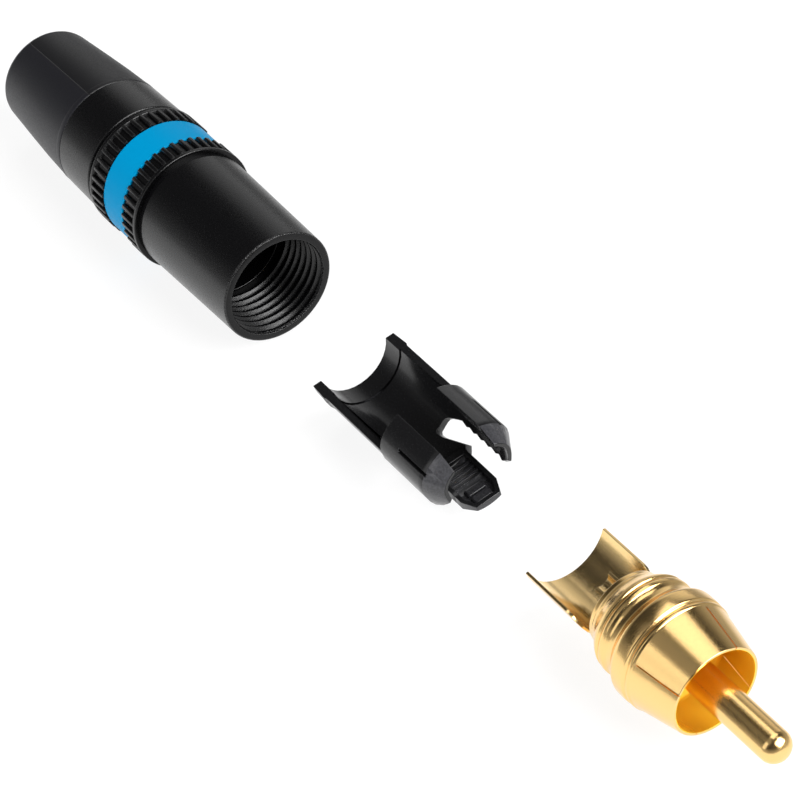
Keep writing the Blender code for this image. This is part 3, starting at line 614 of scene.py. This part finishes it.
gold_tree = turned_gold.node_tree
gold_shader = shader_of(turned_gold)
gold_along = place_on_piece(gold_tree)["X"]
wall_rear = WALL_MIDDLE + WALL_LENGTH * WALL_SLOPE
wall = map_step(gold_tree, gold_along, RIM - WALL_LENGTH, RIM, wall_rear, WALL_MIDDLE)
wall_inside = math_step(gold_tree, "MINIMUM", wall, BORE_LIMIT)
within = math_step(gold_tree, "LESS_THAN", distance_from_axis(gold_tree), wall_inside)
ahead = math_step(gold_tree, "GREATER_THAN", gold_along, BORE_END)
bore = math_step(gold_tree, "MULTIPLY", within, ahead)
for source, name in (
    (colour_step(gold_tree, bore, GOLD, BORE_BOUNCE_ORANGE), "Base Color"),
    (math_step(gold_tree, "MULTIPLY_ADD", bore, BORE_LESS_METALLIC, 1.0), "Metallic"),
    (math_step(gold_tree, "MULTIPLY_ADD", bore, BORE_ROUGHER, turned_gloss), "Roughness"),
):
    gold_tree.links.new(source, gold_shader.inputs[name])
print("bore from, mm:", round(BORE_END / MM, 2), "to", round(RIM / MM, 2))

# %% [markdown]
# A turned piece is a profile spun about its axis, as on a lathe. The profile
# is a closed loop of a few corners, each with its own rounding, and a vertex
# bevel cuts the roundings before the spin. Weighted normals keep the long
# faces flat and let only the small roundings catch the light. A small section
# can also be spun part of the way, or along the axis while it turns, which
# makes a leaf of the ferrule or a thread.

# %% Helpers for turned pieces
ROUNDING_SEGMENTS = 6
FLAT_FACE_WEIGHT = 80
SEAM_REACH = 0.0005


def finished_object(name, shape, datum, material):
    # From millimetres about a datum on the axis to metres in the frame.
    shape.transform(Matrix.Translation((datum, 0.0, AXIS_HEIGHT)) @ Matrix.Scale(MM, 4))
    mesh = bpy.data.meshes.new(name)
    shape.to_mesh(mesh)
    shape.free()
    mesh.materials.append(material)
    piece = bpy.data.objects.new(name, mesh)
    bpy.context.scene.collection.objects.link(piece)
    crisp_edges(piece)
    print(name, "has", len(mesh.polygons), "faces")
    return piece


def crisp_edges(piece):
    piece.data.shade_smooth()
    piece.data.set_sharp_from_angle(angle=math.radians(40.0))
    weights = piece.modifiers.new("weighted_normals", "WEIGHTED_NORMAL")
    weights.keep_sharp = True
    weights.weight = FLAT_FACE_WEIGHT


def profile_loop(shape, corners, closed):
    # Corners are (place along the axis, radius, rounding).
    points = [shape.verts.new((along, 0.0, radius)) for along, radius, _ in corners]
    others = points[1:] + points[:1] if closed else points[1:]
    for first, second in zip(points, others):
        shape.edges.new((first, second))
    for point, (_, _, rounding) in zip(points, corners):
        if rounding:
            bmesh.ops.bevel(
                shape,
                geom=[point],
                offset=rounding,
                offset_type="OFFSET",
                affect="VERTICES",
                segments=ROUNDING_SEGMENTS,
                profile=0.5,
                material=-1,
                clamp_overlap=True,
            )


def lathe_spin(shape, drawn, angle, steps, advance=0.0, merge=False):
    # Spins what is drawn about the axis, and moves it along at each step.
    bmesh.ops.spin(
        shape,
        geom=drawn,
        cent=(0.0, 0.0, 0.0),
        axis=(1.0, 0.0, 0.0),
        dvec=(advance, 0.0, 0.0),
        angle=angle,
        steps=steps,
        use_merge=merge,
    )


def spin_profile(shape, corners, steps, closed=True):
    profile_loop(shape, corners, closed)
    drawn = shape.verts[:] + shape.edges[:]
    lathe_spin(shape, drawn, 2.0 * math.pi, steps, merge=True)
    bmesh.ops.remove_doubles(shape, verts=shape.verts, dist=SEAM_REACH)
    bmesh.ops.recalc_face_normals(shape, faces=shape.faces)


def swept_section(section, angle, steps, advance=0.0):
    # A solid with two ends: a section of (place along the axis, radius), spun.
    shape = bmesh.new()
    corners = [shape.verts.new((along, 0.0, radius)) for along, radius in section]
    face = shape.faces.new(corners)
    lathe_spin(shape, [face] + corners + list(face.edges), angle, steps, advance)
    bmesh.ops.recalc_face_normals(shape, faces=shape.faces)
    return shape


def add_shape(target, part):
    # Joins one bmesh to another.
    spare = bpy.data.meshes.new("spare")
    part.to_mesh(spare)
    part.free()
    target.from_mesh(spare)
    bpy.data.meshes.remove(spare)


print("lathe helpers ready")

# %% [markdown]
# The shell goes first, as the largest piece. Its profile runs from the mouth
# along the front barrel to the two knurled bands with the ring's slot
# between them, then along the rear barrel to the seam and back through the
# bore. The bands are turned down to the roots of their ribs here, all but a
# narrow plain flange on each outer side.

# %% Shell
SHELL_STEPS = 240
RIB_CREST = (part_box("shell")[1][1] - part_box("shell")[0][1]) / 2.0 / MM
RIB_ROOT = RIB_CREST - 0.36
FLANGE_RADIUS = RIB_CREST - 0.02
FLANGE_FOOT = 0.12
GROOVE = 6.45
SLOT_FLOOR = 6.02
SEAM_BORE = 5.75
BAND_WIDTH = 2.7
FLANGE = 0.42
SLOT_WIDTH = 3.95
FRONT_BAND = -16.45
RING_FRONT = FRONT_BAND - BAND_WIDTH
RING_REAR = RING_FRONT - SLOT_WIDTH
REAR_BAND = RING_REAR - BAND_WIDTH
THREAD_ROOT = 5.74
THREAD_CREST = 5.36
THREAD_END = -8.2
BORE = 5.25
BORE_REAR = THREAD_END - 20.3

shell_profile = [
    (0.0, 6.28, 0.22),
    (-15.75, 6.6, 0.07),
    (-15.9, GROOVE, 0.0),
    (FRONT_BAND + 0.02, GROOVE, 0.0),
    (FRONT_BAND, FLANGE_RADIUS, 0.1),
    (FRONT_BAND - FLANGE, FLANGE_RADIUS, 0.08),
    (FRONT_BAND - FLANGE - FLANGE_FOOT, RIB_ROOT, 0.0),
    (RING_FRONT, RIB_ROOT, 0.0),
    (RING_FRONT, SLOT_FLOOR, 0.0),
    (RING_REAR, SLOT_FLOOR, 0.0),
    (RING_REAR, RIB_ROOT, 0.0),
    (REAR_BAND + FLANGE + FLANGE_FOOT, RIB_ROOT, 0.0),
    (REAR_BAND + FLANGE, FLANGE_RADIUS, 0.08),
    (REAR_BAND, FLANGE_RADIUS, 0.1),
    (REAR_BAND - 0.02, GROOVE, 0.0),
    (REAR_BAND - 0.55, GROOVE, 0.0),
    (REAR_BAND - 0.7, 6.8, 0.09),
    (-SHELL_LENGTH, 6.68, 0.1),
    (-SHELL_LENGTH, SEAM_BORE, 0.0),
    (BORE_REAR, SEAM_BORE, 0.0),
    (BORE_REAR, BORE, 0.0),
    (THREAD_END, BORE, 0.08),
    (THREAD_END, THREAD_ROOT, 0.0),
    (-0.75, THREAD_ROOT, 0.0),
    (-0.3, THREAD_CREST, 0.0),
    (0.0, THREAD_CREST + 0.12, 0.05),
]
shell_shape = bmesh.new()
spin_profile(shell_shape, shell_profile, SHELL_STEPS)
print("shell, mm:", round(SHELL_LENGTH, 2), "long,", round(2.0 * RIB_CREST, 2), "across")

# %% [markdown]
# The thread in the mouth is a ridge that winds inwards. Its section is a low
# trapezium whose foot is sunk into the wall, so no boolean is needed. It
# starts behind the chamfer of the mouth and runs to the step at the bore.

# %% Thread in the mouth
PITCH = 0.98
TURNS = 7.25
STEPS_PER_TURN = 96
THREAD_FOOT = THREAD_ROOT + 0.06
FIRST_RIDGE = THREAD_END + 0.5
thread_section = [
    (FIRST_RIDGE - 0.4, THREAD_FOOT),
    (FIRST_RIDGE - 0.12, THREAD_CREST),
    (FIRST_RIDGE + 0.12, THREAD_CREST),
    (FIRST_RIDGE + 0.4, THREAD_FOOT),
]
thread_steps = round(STEPS_PER_TURN * TURNS)
mouth_thread = swept_section(
    thread_section, 2.0 * math.pi * TURNS, thread_steps, advance=PITCH / STEPS_PER_TURN
)
add_shape(shell_shape, mouth_thread)
print("thread of", TURNS, "turns")

# %% [markdown]
# The knurl is forty straight ribs on each band. Every rib is a cube, pulled
# into a bar with a narrower top, then turned into place. One bevel rounds all
# of their long edges at once. They stand a hair deep in the band and end
# flush with the ring's slot, so their open ends show a toothed edge.

# %% Ribs of the knurl
RIB_COUNT = 40
RIB_WIDTH = 0.66
RIB_TOP = 0.62
RIB_SUNK = 0.1
RIB_ROUNDING = 0.09


def knurl_ribs(rear, front):
    ribs = bmesh.new()
    length = front - rear
    depth = RIB_CREST - RIB_ROOT + RIB_SUNK
    for index in range(RIB_COUNT):
        bar = bmesh.ops.create_cube(ribs, size=1.0)["verts"]
        bmesh.ops.scale(ribs, verts=bar, vec=(length, RIB_WIDTH, depth))
        top = [corner for corner in bar if corner.co.z > 0.0]
        bmesh.ops.scale(ribs, verts=top, vec=(1.0, RIB_TOP, 1.0))
        middle = ((rear + front) / 2.0, 0.0, RIB_CREST - depth / 2.0)
        bmesh.ops.translate(ribs, verts=bar, vec=middle)
        turn = Matrix.Rotation(2.0 * math.pi * index / RIB_COUNT, 3, "X")
        bmesh.ops.rotate(ribs, verts=bar, matrix=turn)
    bmesh.ops.bevel(
        ribs,
        geom=ribs.edges[:],
        offset=RIB_ROUNDING,
        offset_type="OFFSET",
        affect="EDGES",
        segments=2,
        profile=0.5,
        material=-1,
    )
    return ribs


add_shape(shell_shape, knurl_ribs(RING_FRONT, FRONT_BAND - FLANGE + 0.05))
add_shape(shell_shape, knurl_ribs(REAR_BAND + FLANGE - 0.05, RING_REAR))
shell_piece = finished_object("turned_shell", shell_shape, MOUTH, coat_black)
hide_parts("shell")
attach(shell_piece, "housing")

# %% [markdown]
# The ring fills its slot from side to side, a little lower than the ribs, so
# its blue runs in between their ends. It is a plain hoop with softened edges.

# %% Colour ring
RING_OUTER = (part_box("colour_ring")[1][1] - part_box("colour_ring")[0][1]) / 2.0 / MM
RING_INNER = 6.3
RING_PLAY = 0.04
ring_profile = [
    (RING_FRONT - RING_PLAY, RING_OUTER, 0.08),
    (RING_REAR + RING_PLAY, RING_OUTER, 0.08),
    (RING_REAR + RING_PLAY, RING_INNER, 0.0),
    (RING_FRONT - RING_PLAY, RING_INNER, 0.0),
]
ring_shape = bmesh.new()
spin_profile(ring_shape, ring_profile, SHELL_STEPS)
ring_piece = finished_object("blue_ring", ring_shape, MOUTH, ring_blue)
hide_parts("colour_ring")
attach(ring_piece, "colour_ring")

# %% [markdown]
# The boot tapers a little faster towards its end, so its profile has a few
# corners on the way. Its front edge is softly rounded against the shell, and
# a shallow step just behind that edge shows where the mould's core ended.

# %% Boot
TURNED_STEPS = 192
SPIGOT_FRONT = 4.0 - SHELL_LENGTH
SPIGOT = 5.65
BOOT_FRONT = -SHELL_LENGTH - 0.05
CABLE_HOLE = 3.65
boot_profile = [
    (SPIGOT_FRONT, SPIGOT, 0.1),
    (BOOT_FRONT, SPIGOT, 0.0),
    (BOOT_FRONT, 6.66, 0.16),
    (-SHELL_LENGTH - 0.75, 6.68, 0.0),
    (-SHELL_LENGTH - 0.8, 6.65, 0.0),
    (-SHELL_LENGTH - 4.6, 6.45, 0.0),
    (-SHELL_LENGTH - 8.5, 6.15, 0.0),
    (-HOUSING_LENGTH, 5.62, 0.95),
    (-HOUSING_LENGTH, CABLE_HOLE, 0.4),
    (3.4 - HOUSING_LENGTH, CABLE_HOLE, 0.2),
    (-SHELL_LENGTH - 2.65, BORE, 0.3),
    (SPIGOT_FRONT, BORE, 0.1),
]
boot_shape = bmesh.new()
spin_profile(boot_shape, boot_profile, TURNED_STEPS)
boot_piece = finished_object("moulded_boot", boot_shape, MOUTH, boot_moulding)
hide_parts("boot")
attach(boot_piece, "housing")

# %% [markdown]
# The chuck's solid already has its real form: the trough, the jaws and the
# boxed tongue. What it lacks is the soft edge that every moulding has. Its
# triangles are merged, flat areas become single faces again, and a bevel
# modifier rounds the edges that are left.

# %% Helper for pieces whose solid is already right
SAME_POINT = 0.00001
SAME_FACE = math.radians(1.0)


def softened_copy(name, node, width, material, angle=28.0):
    shape = bmesh.new()
    shape.from_mesh(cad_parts[node].data)
    bmesh.ops.remove_doubles(shape, verts=shape.verts, dist=SAME_POINT)
    bmesh.ops.dissolve_limit(
        shape, angle_limit=SAME_FACE, verts=shape.verts[:], edges=shape.edges[:]
    )
    mesh = bpy.data.meshes.new(name)
    shape.to_mesh(mesh)
    shape.free()
    mesh.materials.clear()
    mesh.materials.append(material)
    piece = bpy.data.objects.new(name, mesh)
    bpy.context.scene.collection.objects.link(piece)
    edge = piece.modifiers.new("soft_edges", "BEVEL")
    edge.width = width * MM
    edge.segments = 2
    edge.limit_method = "ANGLE"
    edge.angle_limit = math.radians(angle)
    edge.use_clamp_overlap = False
    crisp_edges(piece)
    print(name, "has", len(mesh.polygons), "faces before its edges are softened")
    return piece


# %% [markdown]
# The helper is used first on the chuck, whose edges have the radius of a
# normal moulding. Its small teeth and pads keep their faces.

# %% Chuck
chuck_piece = softened_copy("moulded_chuck", "chuck", 0.045, chuck_plastic, angle=30.0)
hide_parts("chuck")
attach(chuck_piece, "chuck")

# %% [markdown]
# The ground shell is one turned piece, made here in two steps. The body
# behind the slits is spun all the way round. The ferrule in front of them is
# four leaves: the same wall, spun through a little less than a quarter turn
# each. What is left open between the leaves are the slits.

# %% Ground shell
SLIT_LENGTH = 4.6
SLIT_HALF_ANGLE = math.radians(0.65)
SLIT_FIRST = math.radians(38.0)
RIM_OUTER = 4.62
RIM_INNER = 4.3
LEAF_END_OUTER = 5.56
LEAF_END_INNER = 5.24
LEAF_STEPS = 46

body_profile = [
    (-SLIT_LENGTH, LEAF_END_OUTER, 0.0),
    (-4.78, 5.6, 0.04),
    (-4.92, 5.72, 0.08),
    (-5.22, 5.72, 0.1),
    (-5.36, 5.54, 0.05),
    (-5.5, 5.54, 0.05),
    (-5.64, 5.76, 0.1),
    (-6.2, 5.79, 0.2),
    (-7.2, 5.77, 0.3),
    (-7.75, 5.3, 0.25),
    (-8.1, 4.98, 0.3),
    (-8.95, 4.94, 0.3),
    (-9.2, 5.16, 0.14),
    (-9.62, 5.2, 0.16),
    (-9.88, 4.98, 0.08),
    (-10.0, 4.98, 0.05),
    (-10.14, 5.1, 0.08),
    (-10.5, 4.96, 0.2),
    (-11.0, 4.62, 0.3),
    (-11.5, 4.22, 0.25),
    (-11.95, 4.06, 0.1),
    (-12.1, 3.98, 0.06),
    (-12.6, 3.9, 0.12),
    (-12.6, 3.55, 0.05),
    (-11.6, 3.55, 0.0),
    (-11.6, 3.85, 0.0),
    (-6.6, 3.85, 0.0),
    (-6.6, 4.5, 0.0),
    (-5.5, 4.5, 0.2),
    (-4.9, 5.2, 0.1),
    (-SLIT_LENGTH, LEAF_END_INNER, 0.0),
]
ground_shape = bmesh.new()
spin_profile(ground_shape, body_profile, TURNED_STEPS)


def ferrule_leaf(start):
    wall = [
        (0.0, RIM_INNER + 0.03),
        (0.0, RIM_OUTER - 0.04),
        (-0.04, RIM_OUTER),
        (-SLIT_LENGTH, LEAF_END_OUTER),
        (-SLIT_LENGTH, LEAF_END_INNER),
        (-0.03, RIM_INNER),
    ]
    leaf = swept_section(wall, math.pi / 2.0 - 2.0 * SLIT_HALF_ANGLE, LEAF_STEPS)
    turn = Matrix.Rotation(start + SLIT_HALF_ANGLE, 3, "X")
    bmesh.ops.rotate(leaf, verts=leaf.verts, matrix=turn)
    return leaf


for quarter in range(4):
    add_shape(ground_shape, ferrule_leaf(-SLIT_FIRST + quarter * math.pi / 2.0))

ground_piece = finished_object("turned_ground_shell", ground_shape, RIM, turned_gold)
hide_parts("ground_shell")
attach(ground_piece, "contact_insert")

# %% [markdown]
# The pin is turned with a full round nose. Its far end, with the solder cup,
# keeps the form of its solid: the copy is cut off inside the insulator, and
# the new nose takes its place in front of the cut.

# %% Centre pin
PIN_STEPS = 96
PIN_RADIUS = 1.6
PIN_TIP = (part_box("centre_pin")[1][0] - RIM) / MM
PIN_SHOULDER = -6.3
STEM_RADIUS = 0.95
PIN_CUT = -9.0

pin_shape = bmesh.new()
pin_profile = [
    (PIN_TIP, 0.0, 0.0),
    (PIN_TIP - 0.02, PIN_RADIUS, 1.42),
    (PIN_SHOULDER, PIN_RADIUS, 0.0),
    (PIN_SHOULDER, STEM_RADIUS, 0.0),
    (PIN_CUT, STEM_RADIUS, 0.0),
    (PIN_CUT, 0.0, 0.0),
]
spin_profile(pin_shape, pin_profile, PIN_STEPS, closed=False)
nose_piece = finished_object("turned_pin", pin_shape, RIM, pin_gold)

cup_piece = softened_copy("solder_cup", "centre_pin", 0.04, sheet_gold)
cup_shape = bmesh.new()
cup_shape.from_mesh(cup_piece.data)
cut = bmesh.ops.bisect_plane(
    cup_shape,
    geom=cup_shape.verts[:] + cup_shape.edges[:] + cup_shape.faces[:],
    plane_co=(RIM + PIN_CUT * MM, 0.0, 0.0),
    plane_no=(1.0, 0.0, 0.0),
    clear_outer=True,
)
cut_edges = [item for item in cut["geom_cut"] if isinstance(item, bmesh.types.BMEdge)]
bmesh.ops.contextual_create(cup_shape, geom=cut_edges)
cup_shape.to_mesh(cup_piece.data)
cup_shape.free()
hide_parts("centre_pin")
for piece in (nose_piece, cup_piece):
    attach(piece, "contact_insert")

# %% [markdown]
# The ground clamp is sheet, pressed into a trough. Its solid has the right
# form, so it only gets softer edges and the gold of rolled sheet. The
# insulator shows as a dark disc deep in the ferrule and keeps its solid too.

# %% Ground clamp and insulator
clamp_piece = softened_copy("pressed_clamp", "ground_clamp", 0.04, sheet_gold, angle=50.0)
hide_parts("ground_clamp")
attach(clamp_piece, "contact_insert")

insulator_plastic = new_finish("insulator_plastic", (0.012, 0.012, 0.013), 0.0, 0.45)
fine_skin(insulator_plastic, 6000.0, (0.38, 0.52), 0.01 * MM, 0.5)
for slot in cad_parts["insulator"].material_slots:
    slot.material = insulator_plastic
print("insulator keeps its solid")

# %% [markdown]
# Last, the colour management stays plain, so that a colour renders as it was
# written.

# %% Finish
bpy.context.scene.view_settings.view_transform = "Standard"
